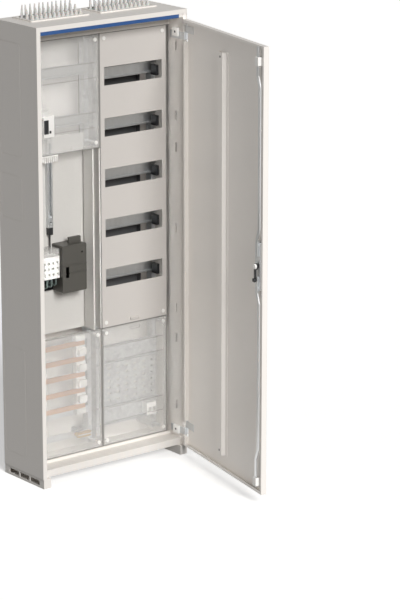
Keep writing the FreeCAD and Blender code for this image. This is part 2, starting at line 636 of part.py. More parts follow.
def support_rails():
    """Two cross members on the uprights that carry the busbar insulators and earth terminals."""
    x0 = -FIELD_MIDDLE - UPRIGHT_OFFSET - UPRIGHT_WIDTH / 2
    x1 = -FIELD_MIDDLE + UPRIGHT_OFFSET + UPRIGHT_WIDTH / 2
    heights = (busbar_heights()[0] + 14, busbar_heights()[-1] - 20, EARTH_HEIGHT)
    seats = [block(m - UPRIGHT_WIDTH / 2, m + UPRIGHT_WIDTH / 2, RAIL_FACE, RAIL_FACE + 30, 0, HEIGHT)
             for m in (-FIELD_MIDDLE - UPRIGHT_OFFSET, -FIELD_MIDDLE + UPRIGHT_OFFSET)]
    return [cut(block(x0 + UPRIGHT_WIDTH, x1 - UPRIGHT_WIDTH, RAIL_FACE, RAIL_FACE + 3, z - 10, z + 10),
                seats) for z in heights]


EARTH_LEFT = -FIELD_MIDDLE + 51.0
EARTH_COUNT = 7
EARTH_PITCH = 7.0


def earth_terminals():
    """Row of brass screw terminals on one bar."""
    z, pitch = EARTH_HEIGHT, EARTH_PITCH
    x1 = EARTH_LEFT + EARTH_COUNT * pitch
    pieces = [block(EARTH_LEFT, x1, RAIL_FACE - 8, RAIL_FACE, z - 4, z + 4)]
    for i in range(EARTH_COUNT):
        x = EARTH_LEFT + (i + 0.5) * pitch
        pieces.append(block(x - 2.9, x + 2.9, RAIL_FACE - 20, RAIL_FACE - 7, z - 8, z + 8))
    return cut(fuse(pieces), [pin(1.8, V(EARTH_LEFT + (i + 0.5) * pitch, RAIL_FACE - 21, z),
                                  V(0, 1, 0), 4) for i in range(EARTH_COUNT)])


# ---- data field ----------------------------------------------------------------------------------
def data_plate():
    """Perforated carrier plate with two folded ribs."""
    x0, x1 = FIELD_MIDDLE - UPRIGHT_OFFSET - 7.5, FIELD_MIDDLE + UPRIGHT_OFFSET + 7.5
    low, high = COVER_BOTTOM + 50.0, COVER_SPLIT - 72.0
    plate = block(x0, x1, RAIL_FACE - 2.0, RAIL_FACE, low, high)
    ribs = [block(x0, x1, RAIL_FACE - 12, RAIL_FACE - 1, z - 1, z + 1)
            for z in (low + 1, low + 58, high - 58, high - 1)]
    across, up = 7, 6
    holes = [rounded(x - 6, x + 6, RAIL_FACE - 5, RAIL_FACE + 5, z - 3, z + 3, 2.5)
             for x in (x0 + (x1 - x0) * (i + 0.5) / across for i in range(across))
             for z in (low + 66 + (high - low - 132) * (j + 0.5) / up for j in range(up))]
    return cut(fuse([plate] + ribs), holes)


def data_socket():
    """Small data outlet on the carrier plate."""
    x0, x1, z = FIELD_MIDDLE + 61.0, FIELD_MIDDLE + 97.0, COVER_BOTTOM + 78.0
    body = rounded(x0, x1, RAIL_FACE - 26, RAIL_FACE - 2, z - 20, z + 20, 2.5)
    ports = [block(x - 6.5, x + 6.5, RAIL_FACE - 28, RAIL_FACE - 14, z - 11, z + 3)
             for x in (x0 + 9.5, x1 - 9.5)]
    return cut(body, ports)


# ---- door, drawn closed and turned open at export ------------------------------------------------
def door_panel():
    """Folded pan: outer sheet, four returns and inward lips, notched for the hinges."""
    y0, y1 = DOOR_FRONT, DOOR_FRONT + DOOR_DEPTH
    pan = block(DOOR_LEFT, DOOR_RIGHT, y0, y1, DOOR_BOTTOM, DOOR_TOP)
    pan = pan.makeFillet(1.4, [e for e in pan.Edges if e.CenterOfMass.y < y0 + 0.1])
    hollow = block(DOOR_LEFT + DOOR_SHEET, DOOR_RIGHT - DOOR_SHEET, y0 + DOOR_SHEET,
                   y1 - DOOR_SHEET, DOOR_BOTTOM + DOOR_SHEET, DOOR_TOP - DOOR_SHEET)
    mouth = block(DOOR_LEFT + DOOR_LIP, DOOR_RIGHT - DOOR_LIP, y0 + DOOR_SHEET, y1 + 1,
                  DOOR_BOTTOM + DOOR_LIP, DOOR_TOP - DOOR_LIP)
    notches = [block(DOOR_RIGHT - DOOR_LIP - 1, DOOR_RIGHT + 1, y0 + DOOR_SHEET, y1 + 1, z - 26, z + 26)
               for z in (HINGE_BOTTOM, HINGE_TOP)]
    spindle = pin(6.2, V(ROD_END, y0 - 5, LOCK_MIDDLE), V(0, 1, 0), 10)
    return cut(pan, [hollow, mouth, spindle] + notches)


def door_stiffener():
    """Vertical hat profile on the inside of the pan."""
    middle = DOOR_LEFT + (DOOR_RIGHT - DOOR_LEFT) / 2 + 22
    y0 = DOOR_FRONT + DOOR_SHEET
    low, high = DOOR_BOTTOM + 42, DOOR_TOP - 60
    outline = [(middle - 31, y0), (middle - 31, y0 + 1.5), (middle - 20, y0 + 1.5),
               (middle - 14, y0 + 12), (middle + 14, y0 + 12), (middle + 20, y0 + 1.5),
               (middle + 31, y0 + 1.5), (middle + 31, y0), (middle + 18.6, y0),
               (middle + 12.6, y0 + 10.5), (middle - 12.6, y0 + 10.5), (middle - 18.6, y0)]
    return extrude_z(outline, low, high)


def lock_case():
    """Closed gear case behind the handle, its spindle bore right through."""
    y0 = DOOR_FRONT + DOOR_SHEET
    x0, x1 = DOOR_LEFT + DOOR_LIP + 1, ROD_END + 14
    case = rounded(x0, x1, y0, ROD_PLANE - SEAT, LOCK_MIDDLE - 73, LOCK_MIDDLE + 73, 5.0)
    return cut(case, [pin(5.0 + HINGE_FIT, V(ROD_END, y0 - 1, LOCK_MIDDLE), V(0, 1, 0), 40)])


CAM_THICK = 2.5


HANDLE_PROUD = 9.0          # handle in front of the door
HANDLE_ROSE = 3.0


def door_handle():
    """Low outside handle with its spindle through the lock case and a cam plate at the end."""
    y0 = DOOR_FRONT
    rose = pin(15.0, V(ROD_END, y0 - SEAT, LOCK_MIDDLE), V(0, -1, 0), HANDLE_ROSE)
    grip = rounded(ROD_END - 6, ROD_END + 6, y0 - HANDLE_PROUD, y0 - HANDLE_ROSE + 0.5,
                   LOCK_MIDDLE - 38, LOCK_MIDDLE + 16, 5.0)
    spindle = pin(5.0, V(ROD_END, y0 - SEAT, LOCK_MIDDLE), V(0, 1, 0),
                  ROD_PLANE + ROD_THICK + 1 - y0 + SEAT)
    cam = rounded(ROD_END - 9, ROD_END + 9, ROD_PLANE + ROD_THICK + SEAT,
                  ROD_PLANE + ROD_THICK + SEAT + CAM_THICK, LOCK_MIDDLE - 9, LOCK_MIDDLE + 9, 5.0)
    return fuse([rose, grip, spindle, cam])


ROD_INNER = 30.0            # from the spindle to the near end of a rod
ROD_TUCK = 2.0              # from the door's top edge down to the upper rod's tip
ROD_LIFT = 5.0              # from the sill up to the lower rod's tip
JOGGLE = 30.0
ROD_STRAIGHT = 84.0         # straight end that runs in the guide


def lock_rod(hand):
    """Flat rod, joggled at the case and at its guide; hand is 1 upwards, -1 downwards."""
    tip = DOOR_TOP - ROD_TUCK if hand > 0 else SILL_TOP + ROD_LIFT
    start = LOCK_MIDDLE + hand * ROD_INNER
    levels = [start, start + hand * 50, start + hand * (50 + JOGGLE),
              tip - hand * (ROD_STRAIGHT + JOGGLE), tip - hand * ROD_STRAIGHT, tip]
    places = [ROD_END, ROD_END, ROD_MIDDLE, ROD_MIDDLE, ROD_END, ROD_END]
    half = ROD_WIDTH / 2
    outline = [(x - half, z) for x, z in zip(places, levels)]
    outline += [(x + half, z) for x, z in reversed(list(zip(places, levels)))]
    wire = Part.makePolygon([V(x, ROD_PLANE, z) for x, z in outline + outline[:1]])
    return Part.Face(wire).extrude(V(0, ROD_THICK, 0))


def rod_guides():
    """Moulded guides that carry the rods near the door's top and bottom edges."""
    out = []
    for z in (DOOR_BOTTOM + 36, DOOR_TOP - 45):
        x0, x1 = ROD_END - ROD_WIDTH / 2 - 4, ROD_END + ROD_WIDTH / 2 + 4
        body = rounded(x0, x1, DOOR_FRONT + DOOR_SHEET, ROD_PLANE + ROD_THICK + 4, z - 13, z + 13, 3.0)
        way = block(ROD_END - ROD_WIDTH / 2 - SEAT, ROD_END + ROD_WIDTH / 2 + SEAT,
                    ROD_PLANE - SEAT, ROD_PLANE + ROD_THICK + SEAT, z - 20, z + 20)
        out.append(body.cut(way))
    return out


KNUCKLE = 22.0              # length of one hinge knuckle
LEAF = 2.0


def hinge_frame_half(z):
    """Fixed half: leaf on the stile's inner web, lower knuckle and pin."""
    x0 = INNER - LEAF
    leaf = block(x0, INNER, FRONT + 6, COVER_PLANE - 8, z - KNUCKLE, z)
    neck = block(x0, INNER, PIVOT.y - 1, FRONT + 8, z - KNUCKLE, z)
    tongue = block(x0, PIVOT.x, PIVOT.y + 0.4, FRONT - SEAT, z - KNUCKLE, z)
    knuckle = pin(HINGE_RADIUS, V(PIVOT.x, PIVOT.y, z - KNUCKLE), V(0, 0, 1), KNUCKLE)
    axle = pin(HINGE_PIN_RADIUS, V(PIVOT.x, PIVOT.y, z - KNUCKLE / 2), V(0, 0, 1), KNUCKLE * 1.5 - 2)
    return fuse([leaf, neck, tongue, knuckle, axle])


def hinge_door_half(z):
    """Moving half: upper knuckle and an arm through the door's notch to a foot inside the pan."""
    y0 = DOOR_FRONT + DOOR_SHEET
    low = z + SEAT
    arm = block(DOOR_RIGHT - 40, PIVOT.x, y0, y0 + LEAF, low, low + KNUCKLE)
    knuckle = pin(HINGE_RADIUS, V(PIVOT.x, PIVOT.y, low), V(0, 0, 1), KNUCKLE)
    hole = pin(HINGE_PIN_RADIUS + HINGE_FIT, V(PIVOT.x, PIVOT.y, low - 1), V(0, 0, 1), KNUCKLE + 2)
    return cut(fuse([arm, knuckle]), [hole])


# ---- build ---------------------------------------------------------------------------------------
export("back_wall", back_wall())
export("side_wall_right", side_wall())
export("side_wall_left", mirror_x(side_wall()))
export("top_panel", top_panel())
export("bottom_panel", bottom_panel())
export("stile_right", stile())
export("stile_left", mirror_x(stile()))
export("head_rail", head_rail())
export("title_strip", title_strip())
export("sill", sill())
export("foot_rail_right", foot_rail())
export("foot_rail_left", mirror_x(foot_rail()))
for hand, side in (("left", -1), ("right", 1)):
    export(f"cable_flange_{hand}", cable_flange(side * FIELD_MIDDLE))
    export(f"nozzle_strip_{hand}", nozzle_strip(side * FIELD_MIDDLE))
export("field_uprights", *field_uprights())
for number, height in enumerate(reversed(slot_heights()), 1):
    export(f"din_rail_{number}", hat_rail(height, FIELD_MIDDLE - UPRIGHT_OFFSET - UPRIGHT_WIDTH / 2,
                                          FIELD_MIDDLE + UPRIGHT_OFFSET + UPRIGHT_WIDTH / 2))
export("rail_end_stops", *[end_stop(z) for z in slot_heights()])

for name, (side, low, high) in cover_spans().items():
    slots = slot_heights() if name == "distribution_cover" else ()
    at_top = name in ("data_cover", "busbar_cover")
    grip_z = high - 14 if at_top else low + 14
    export(name, fuse([cover(side, low, high, slots), pull_recess(side, grip_z, 1 if at_top else -1)]))
    export(name.replace("cover", "fasteners"),
           *[cover_fastener(x, z) for x, z in fastener_places(side, low, high)])

export("meter_channels", *meter_channels())
export("meter_plate", meter_plate())
export("hanger_bar", hanger_bar())
export("meter_hook", meter_hook())
export("meter_rod", meter_rod())
export("terminal_block", terminal_block())
export("terminal_lid", terminal_lid())
export("terminal_wires", *terminal_wires())
export("terminal_hood", terminal_hood())
export("meter_field_rails", *meter_field_rails())
export("switch_body", switch_body())
export("switch_toggle", switch_toggle())
export("phase_busbars", *[busbar(height) for height in busbar_heights()[:3]])
export("neutral_busbar", busbar(busbar_heights()[3]))
export("earth_busbar", busbar(busbar_heights()[4]))
export("busbar_supports", *busbar_supports())
export("support_rails", *support_rails())
export("earth_terminals", earth_terminals())
export("data_plate", data_plate())
export("data_socket", data_socket())

export("door_panel", open_door(door_panel()))
export("door_stiffener", open_door(door_stiffener()))
export("lock_case", open_door(lock_case()))
export("door_handle", open_door(door_handle()))
export("lock_rod_upper", open_door(lock_rod(1)))
export("lock_rod_lower", open_door(lock_rod(-1)))
export("rod_guides", *[open_door(guide) for guide in rod_guides()])
export("hinge_door_halves", *[open_door(hinge_door_half(z)) for z in (HINGE_BOTTOM, HINGE_TOP)])
export("hinge_frame_halves", *[hinge_frame_half(z) for z in (HINGE_BOTTOM, HINGE_TOP)])

print(len(NODES), "nodes")
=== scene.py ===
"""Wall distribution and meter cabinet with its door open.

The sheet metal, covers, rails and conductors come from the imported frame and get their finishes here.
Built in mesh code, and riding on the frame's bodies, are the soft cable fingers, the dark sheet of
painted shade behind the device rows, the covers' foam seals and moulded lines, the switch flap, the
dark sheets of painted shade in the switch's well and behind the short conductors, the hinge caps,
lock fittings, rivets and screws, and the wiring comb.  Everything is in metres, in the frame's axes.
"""
import json
import math
import random

import bmesh
import bpy
from mathutils import Matrix, Vector

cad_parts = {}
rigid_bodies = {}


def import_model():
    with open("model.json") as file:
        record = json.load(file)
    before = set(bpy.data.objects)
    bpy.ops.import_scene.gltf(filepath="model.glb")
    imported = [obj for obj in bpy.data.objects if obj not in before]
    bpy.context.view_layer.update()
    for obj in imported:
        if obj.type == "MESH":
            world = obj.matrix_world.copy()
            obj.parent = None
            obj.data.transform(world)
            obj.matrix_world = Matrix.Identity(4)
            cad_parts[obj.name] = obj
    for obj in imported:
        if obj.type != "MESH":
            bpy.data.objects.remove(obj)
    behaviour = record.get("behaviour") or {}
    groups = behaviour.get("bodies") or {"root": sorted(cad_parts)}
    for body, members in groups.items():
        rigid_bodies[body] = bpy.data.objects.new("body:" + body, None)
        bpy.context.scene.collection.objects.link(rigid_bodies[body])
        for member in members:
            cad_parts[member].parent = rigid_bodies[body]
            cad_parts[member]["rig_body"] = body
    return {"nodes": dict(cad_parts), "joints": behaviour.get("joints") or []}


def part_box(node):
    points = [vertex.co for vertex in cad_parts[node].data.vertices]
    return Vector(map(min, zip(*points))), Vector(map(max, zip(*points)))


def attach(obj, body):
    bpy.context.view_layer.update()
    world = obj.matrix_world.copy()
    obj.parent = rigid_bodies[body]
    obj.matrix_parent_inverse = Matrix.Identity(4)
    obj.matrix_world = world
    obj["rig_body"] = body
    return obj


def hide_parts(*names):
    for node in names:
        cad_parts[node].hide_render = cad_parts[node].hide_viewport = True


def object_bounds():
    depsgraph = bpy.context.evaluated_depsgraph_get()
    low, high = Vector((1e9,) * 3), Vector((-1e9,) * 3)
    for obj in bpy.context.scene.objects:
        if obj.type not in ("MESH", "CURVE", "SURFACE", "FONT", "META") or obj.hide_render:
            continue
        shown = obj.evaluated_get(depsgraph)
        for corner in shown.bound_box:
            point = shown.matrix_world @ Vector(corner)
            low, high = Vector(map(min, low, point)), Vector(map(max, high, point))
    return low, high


bl_info = {
    "name": "Distribution Cabinet",
    "version": (1, 0, 0),
    "blender": (4, 5, 0),
    "location": "View3D > Sidebar > Cabinet",
    "description": "Finishes and detail pieces of a wall distribution cabinet",
    "category": "Object",
}

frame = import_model()
CAD_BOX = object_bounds()
NODES = frame["nodes"]
MM = 0.001
RAIL = 35 * MM                # height of a top-hat rail
GRIP = 4 * MM                 # how far a cover's grip stands forward of its sheet
# Besides the door itself, the door's own light reaches these pieces.
DOOR_LIT = {"side_wall_right", "hinge_frame_halves", "hinge_cap_top", "hinge_cap_bottom"}
# The fields' own light reaches these pieces only.
FIELD_LIT = {"back_wall", "field_uprights", "meter_field_rails", "support_rails", "data_plate",
             "stile_right", "meter_channels", "hanger_bar", "switch_body", "phase_busbars",
             "neutral_busbar", "earth_busbar", "busbar_supports", "earth_terminals", "wiring_comb",
             "terminal_block", "data_socket", "side_wall_right", "switch_well_shade",
             "wire_shade_tray", "terminal_wires"}
# Where each light comes from: degrees above level, and degrees right of straight ahead.
KEY_FROM = (28, -12)
DOOR_FILL_FROM = (18, -68)
FIELD_FILL_FROM = (14, -30)
AIM = Vector((0.062, -0.433, 0.605))    # the camera looks between the casing and the open door
DOOR_JOINT = next(j for j in frame["joints"] if j["name"] == "door_hinge")
DOOR_PIVOT = Vector(DOOR_JOINT["pos_m"])
DOOR_OPEN = -math.radians(DOOR_JOINT["range_deg"][0])     # the door stands this far open at rest
TURN_OPEN = (Matrix.Translation(DOOR_PIVOT) @ Matrix.Rotation(DOOR_OPEN, 4, "Z")
             @ Matrix.Translation(-DOOR_PIVOT))


# ---- colour and node helpers --------------------------------------------------------------------
def linear(code):
    """An sRGB hex value as linear red, green and blue."""
    parts = [int(code[i:i + 2], 16) / 255 for i in (1, 3, 5)]
    return tuple(c / 12.92 if c <= 0.04045 else ((c + 0.055) / 1.055) ** 2.4 for c in parts)


def add(tree, kind, settings=None, inputs=None):
    """Adds one node; an input is a value or the output socket of another node."""
    node = tree.nodes.new(kind)
    for name, value in (settings or {}).items():
        setattr(node, name, value)
    for name, value in (inputs or {}).items():
        if isinstance(value, bpy.types.NodeSocket):
            tree.links.new(value, node.inputs[name])
        else:
            node.inputs[name].default_value = value
    return node


def start(name, colour, **sockets):
    """A new material with one shader; sockets are its constant values."""
    material = bpy.data.materials.new(name)
    material.use_nodes = True
    tree = material.node_tree
    tree.nodes.clear()
    shader = add(tree, "ShaderNodeBsdfPrincipled", None, {"Base Color": (*colour, 1.0)})
    for socket, value in sockets.items():
        shader.inputs[socket.replace("_", " ")].default_value = value
    add(tree, "ShaderNodeOutputMaterial", None, {"Surface": shader.outputs[0]})
    return material, tree, shader


def per_metre(size_mm):
    """Texture scale whose features are size_mm across."""
    return 1.0 / (size_mm * MM)


def dress(tree, shader, pattern, relief_mm, colours, rough):
    """Drives bump, colour and roughness from one pattern: colours and rough are its two ends."""
    rounded = add(tree, "ShaderNodeBevel", {"samples": 4}, {"Radius": 0.6 * MM})
    bump = add(tree, "ShaderNodeBump", None,
               {"Strength": 0.6, "Distance": relief_mm * MM, "Height": pattern,
                "Normal": rounded.outputs[0]})
    tree.links.new(bump.outputs[0], shader.inputs["Normal"])
    blend = add(tree, "ShaderNodeMix", {"data_type": "RGBA"}, {0: pattern})
    for index, colour in zip((6, 7), colours):
        blend.inputs[index].default_value = (*colour, 1.0)
    tree.links.new(blend.outputs[2], shader.inputs["Base Color"])
    gloss = add(tree, "ShaderNodeMapRange", None,
                {"Value": pattern, "To Min": rough[0], "To Max": rough[1]})
    tree.links.new(gloss.outputs[0], shader.inputs["Roughness"])


def shades(colour, spread):
    """The same colour a little darker and a little lighter."""
    return [tuple(min(1.0, c * k) for c in colour) for k in (1 - spread, 1 + spread)]


def noise(tree, size_mm, detail=2.0, stretch=(1, 1, 1)):
    """Even random grain size_mm across, drawn out along an axis by stretch."""
    where = add(tree, "ShaderNodeTexCoord")
    scaled = add(tree, "ShaderNodeMapping", None,
                 {"Vector": where.outputs["Object"], "Scale": [1 / s for s in stretch]})
    grain = add(tree, "ShaderNodeTexNoise", None,
                {"Vector": scaled.outputs[0], "Scale": per_metre(size_mm), "Detail": detail})
    return grain.outputs[0]


# ---- materials ----------------------------------------------------------------------------------
def powder_coated_steel(look):
    """Epoxy-polyester powder, stoved: satin, with faint orange peel and a slight cloudiness."""
    material, tree, shader = start("powder_coated_steel", look.coat, IOR=1.5)
    peel = noise(tree, 2.6)                 # real peel is about 1 mm; coarser so that it shows
    cloud = noise(tree, 160.0, 1.0)
    both = add(tree, "ShaderNodeMath", {"operation": "MULTIPLY_ADD"}, {0: peel, 1: 0.35, 2: cloud})
    level = add(tree, "ShaderNodeMapRange", None,
                {"Value": both.outputs[0], "From Min": 0.35, "From Max": 1.0})
    dress(tree, shader, level.outputs[0], 0.08, shades(look.coat, 0.02), (0.36, 0.46))
    return material


def spark_textured_abs(look):
    """Injection-moulded ABS from a spark-eroded tool: matt, with a fine even grain."""
    material, tree, shader = start("spark_textured_abs", look.cover, IOR=1.54)
    dress(tree, shader, noise(tree, 1.4, 4.0), 0.05, shades(look.cover, 0.025), (0.5, 0.62))
    return material


def moulded_polycarbonate(name, colour, body):
    """Clear moulded polycarbonate: glossy, slightly milky, with soft flow waves."""
    material, tree, shader = start(name, colour, IOR=1.58, Alpha=body)
    wave = noise(tree, 70.0, 1.0)
    dress(tree, shader, wave, 0.12, shades(colour, 0.015), (0.05, 0.12))
    return material


def zinc_plated_steel(look):
    """Bright passivated zinc plate on rolled strip: cool metal, mottled by its passivation."""
    material, tree, shader = start("zinc_plated_steel", look.zinc, Metallic=1.0)
    dress(tree, shader, noise(tree, 9.0, 5.0, (1, 1, 4)), 0.02, shades(look.zinc, 0.1), (0.26, 0.42))
    return material


def galvanised_sheet(look):
    """Hot-dip galvanised sheet: dull metal with flat crystals, each a slightly different grey."""
    material, tree, shader = start("galvanised_sheet", look.zinc, Metallic=0.85)
    where = add(tree, "ShaderNodeTexCoord")
    spangle = add(tree, "ShaderNodeTexVoronoi", None,
                  {"Vector": where.outputs["Object"], "Scale": per_metre(11.0)})
    value = add(tree, "ShaderNodeSeparateColor", None, {0: spangle.outputs["Color"]})
    dress(tree, shader, value.outputs[0], 0.01, shades(look.zinc, 0.12), (0.34, 0.5))
    return material


def drawn_copper(look):
    """Drawn copper bar: warm metal with fine lines along its length and light tarnish."""
    material, tree, shader = start("drawn_copper", look.copper, Metallic=1.0)
    dress(tree, shader, noise(tree, 1.2, 4.0, (60, 1, 1)), 0.03, shades(look.copper, 0.16),
          (0.24, 0.4))
    return material


def turned_brass(look):
    """Machined brass: yellow metal with close tool lines."""
    material, tree, shader = start("turned_brass", look.brass, Metallic=1.0)
    dress(tree, shader, noise(tree, 0.8, 3.0, (1, 8, 1)), 0.02, shades(look.brass, 0.12), (0.22, 0.36))
    return material


def soft_elastomer(look):
    """Moulded thermoplastic elastomer: dull, slightly translucent, with a dusty bloom."""
    material, tree, shader = start("soft_elastomer", look.membrane, IOR=1.5, Subsurface_Weight=0.15,
                                   Subsurface_Scale=0.004, Sheen_Weight=0.25, Sheen_Roughness=0.5)
    dress(tree, shader, noise(tree, 3.0, 3.0), 0.08, shades(look.membrane, 0.05), (0.6, 0.75))
    return material


def soft_foam(look):
    """Closed-cell foam strip: dull, dark pores in a grey skin."""
    material, tree, shader = start("closed_cell_foam", look.seal, IOR=1.45)
    dress(tree, shader, noise(tree, 0.9, 3.0), 0.1, shades(look.seal, 0.12), (0.75, 0.9))
    return material


def moulded_plastic(name, colour, rough):
    """Moulded polyamide or polystyrene: a fine speckle of fibre or filler in a satin skin."""
    material, tree, shader = start(name, colour, IOR=1.53)
    dress(tree, shader, noise(tree, 1.8, 5.0), 0.06, shades(colour, 0.06), rough)
    return material


def extruded_pvc(name, colour, rough):
    """Extruded PVC: smooth and even, with faint die lines along its length."""
    material, tree, shader = start(name, colour, IOR=1.53)
    dress(tree, shader, noise(tree, 1.0, 2.0, (90, 1, 1)), 0.03, shades(colour, 0.04), rough)
    return material


def shade_board_finish(look):
    """Painted shade: a dull dark sheet, finished like pressed fibre board with the same faint long lines.
    """
    return extruded_pvc("painted_shade_board", look.shade_sheet, (0.6, 0.75))


# ---- mesh helpers -------------------------------------------------------------------------------
def block(bm, low, high, edge=0.0):
    """A block from its two corners, with its edges rounded."""
    low, high = Vector(low), Vector(high)
    place = Matrix.Translation((low + high) / 2) @ Matrix.Diagonal((*(high - low), 1.0))
    verts = bmesh.ops.create_cube(bm, size=1.0, matrix=place)["verts"]
    if edge:
        edges = list({e for v in verts for e in v.link_edges})
        bmesh.ops.bevel(bm, geom=edges, offset=edge, segments=3, profile=0.5, affect="EDGES")


def turned(bm, profile, base, axis=(0, 0, 1), sides=20):
    """A turned solid: profile holds (along, radius) pairs, and a zero radius closes an end."""
    place = Matrix.Translation(base) @ Vector(axis).to_track_quat("Z", "Y").to_matrix().to_4x4()
    rings = []
    for along, radius in profile:
        if radius == 0:
            rings.append([bm.verts.new(place @ Vector((0, 0, along)))])
            continue
        turns = [2 * math.pi * i / sides for i in range(sides)]
        rings.append([bm.verts.new(place @ Vector((radius * math.cos(t), radius * math.sin(t), along)))
                      for t in turns])
    for near, far in zip(rings, rings[1:]):
        for i in range(sides):
            j = (i + 1) % sides
            if len(near) == 1:
                bm.faces.new((near[0], far[j], far[i]))
            elif len(far) == 1:
                bm.faces.new((near[i], near[j], far[0]))
            else:
                bm.faces.new((near[i], near[j], far[j], far[i]))


def arc_rib(bm, centre, radius, width, height, start_angle, end_angle, steps=24):
    """A raised half-ring in the XZ plane, standing forward of the plane through its centre."""
    rows = []
    for i in range(steps + 1):
        angle = start_angle + (end_angle - start_angle) * i / steps
        out = Vector((math.cos(angle), 0, math.sin(angle)))
        inner, outer = centre + out * radius, centre + out * (radius + width)
        lift = Vector((0, -height, 0))
        rows.append([bm.verts.new(p) for p in (inner, inner + lift, outer + lift, outer)])
    for a, b in zip(rows, rows[1:]):
        for k in range(4):
            bm.faces.new((a[k], a[(k + 1) % 4], b[(k + 1) % 4], b[k]))
    bm.faces.new(rows[0])
    bm.faces.new(list(reversed(rows[-1])))


def piece(name, bm, material, body, replaces=(), turn=None):
    """Makes the object, shades it, and hangs it on its body and material slot."""
    if turn is not None:
        bmesh.ops.transform(bm, matrix=turn, verts=bm.verts)
    bmesh.ops.recalc_face_normals(bm, faces=bm.faces)
    for face in bm.faces:
        face.smooth = True
    mesh = bpy.data.meshes.new(name)
    bm.to_mesh(mesh)
    bm.free()
    mesh.set_sharp_from_angle(angle=math.radians(35))
    mesh.materials.append(material)
    made = bpy.data.objects.new(name, mesh)
    bpy.context.scene.collection.objects.link(made)
    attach(made, body)
    if replaces:
        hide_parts(*replaces)
    return made


def finish(material, *names):
    """Gives one material to whole frame nodes."""
    for name in names:
        mesh = NODES[name].data
        mesh.materials.clear()
        mesh.materials.append(material)


def closed_box(name):
    """Corners of a door node as it lies with the door shut."""
    back = TURN_OPEN.inverted()
    points = [back @ v.co for v in NODES[name].data.vertices]
    return (Vector([min(p[i] for p in points) for i in range(3)]),
            Vector([max(p[i] for p in points) for i in range(3)]))


# ---- user settings ------------------------------------------------------------------------------
def colour_of(label, code, about):
    return bpy.props.FloatVectorProperty(name=label, description=about, subtype="COLOR", size=3,
                                         min=0.0, max=1.0, default=linear(code))


def length_of(label, default_mm, about):
    return bpy.props.FloatProperty(name=label, description=about, unit="LENGTH", min=0.0,
                                   default=default_mm * MM)


class CabinetLook(bpy.types.PropertyGroup):
    """Colours of the cabinet's finishes."""
    coat: colour_of("Coat", "#E4DFD9", "Powder coat on the casing and door")
    cover: colour_of("Cover", "#C1BCB7", "Light grey device cover")
    clear: colour_of("Clear", "#F6F4F0", "Tint of the clear covers")
    # Painted shade: the clear ribs get this darker grey for how they look seen edge on.
    edge: colour_of("Clear edge", "#A8A5A0", "Moulded lines of the clear covers, seen edge on")
    clear_body: bpy.props.FloatProperty(name="Clear body", min=0.0, max=1.0, default=0.24,
                                        description="How milky the clear covers look", subtype="FACTOR")
    zinc: colour_of("Zinc", "#CDCFD0", "Plated rails, bars and rods")
    copper: colour_of("Copper", "#D2A27C", "Busbars")
    brass: colour_of("Brass", "#B8934E", "Earth terminals")
    membrane: colour_of("Membrane", "#C9C7C3", "Soft cable fingers")
    hood: colour_of("Hood", "#4B4944", "Sealing hood over the meter terminals")
    # This black is also the painted shade in the switch's well and behind the short conductors.
    black: colour_of("Black", "#1B1C1E", "Toggle, door handle, meter rod and end stops")
    white: colour_of("White", "#E6E4E0", "Terminal block, bar holders, guides and caps")
    wire: colour_of("Wire", "#5A6662", "Insulation of the short conductors")
    seal: colour_of("Seal", "#8B8985", "Foam seal round the covers")
    # Painted shade: the dark sheet behind the device rows stands in for the shade deep in the device
    # field.
    shade_sheet: colour_of("Liner", "#666667", "Insulating liner behind the device rows")
    strip: colour_of("Strip", "#2B5288", "Title strip under the head rail")
    plate: colour_of("Plate", "#C6C3BE", "Plates and ducts of the meter space")


class CabinetDetail(bpy.types.PropertyGroup):
    """Sizes of the small pieces."""
    finger_rows: bpy.props.IntProperty(name="Finger rows", description="Rows of cable fingers",
                                       min=1, default=3)
    fingers: bpy.props.IntProperty(name="Fingers", description="Fingers in a row", min=1, default=12)
    finger_front: length_of("Front finger", 18.0, "Height of the front row")
    finger_rise: length_of("Finger rise", 11.0, "How much taller each row behind is")
    finger_radius: length_of("Finger radius", 6.6, "Radius of a front finger at its root")
    lean: bpy.props.FloatProperty(name="Lean", description="Most that a soft finger leans",
                                  subtype="ANGLE", default=math.radians(3.0))
    rib: length_of("Rib", 1.2, "Width of the moulded lines on the clear covers")
    rib_height: length_of("Rib height", 0.5, "How far the moulded lines stand proud")
    cap: length_of("Cap", 26.0, "Height of a hinge cap")
    lever: length_of("Lever", 42.0, "Length of the latch lever from its spindle")
    comb_tooth: length_of("Comb tooth", 2.2, "Width of a tooth of the wiring comb")


class CabinetStudio(bpy.types.PropertyGroup):
    """Camera and light."""
    azimuth: bpy.props.FloatProperty(name="Azimuth", description="Camera, left of straight ahead",
                                     subtype="ANGLE", default=math.radians(38.5))
    elevation: bpy.props.FloatProperty(name="Elevation", description="Camera, above level",
                                       subtype="ANGLE", default=math.radians(15.5))
    distance: bpy.props.FloatProperty(name="Distance", description="Camera from its aim", unit="LENGTH",
                                      default=8.0)
    lens: bpy.props.FloatProperty(name="Lens", description="Focal length in millimetres", default=164.0)
    key: bpy.props.FloatProperty(name="Key", description="Strength of the main light", default=3.3)
    fill: bpy.props.FloatProperty(name="Fill", description="Strength of the light all round",
                                  default=0.14)
    sheen: bpy.props.FloatProperty(name="Room in reflections", default=0.5,
                                   description="Extra brightness of the room in glossy surfaces")
    door_fill: bpy.props.FloatProperty(name="Door fill", default=1.05,
                                       description="Strength of the light kept to the open door")
    field_fill: bpy.props.FloatProperty(name="Field fill", default=1.1,
                                        description="Strength of the light kept to the open fields")


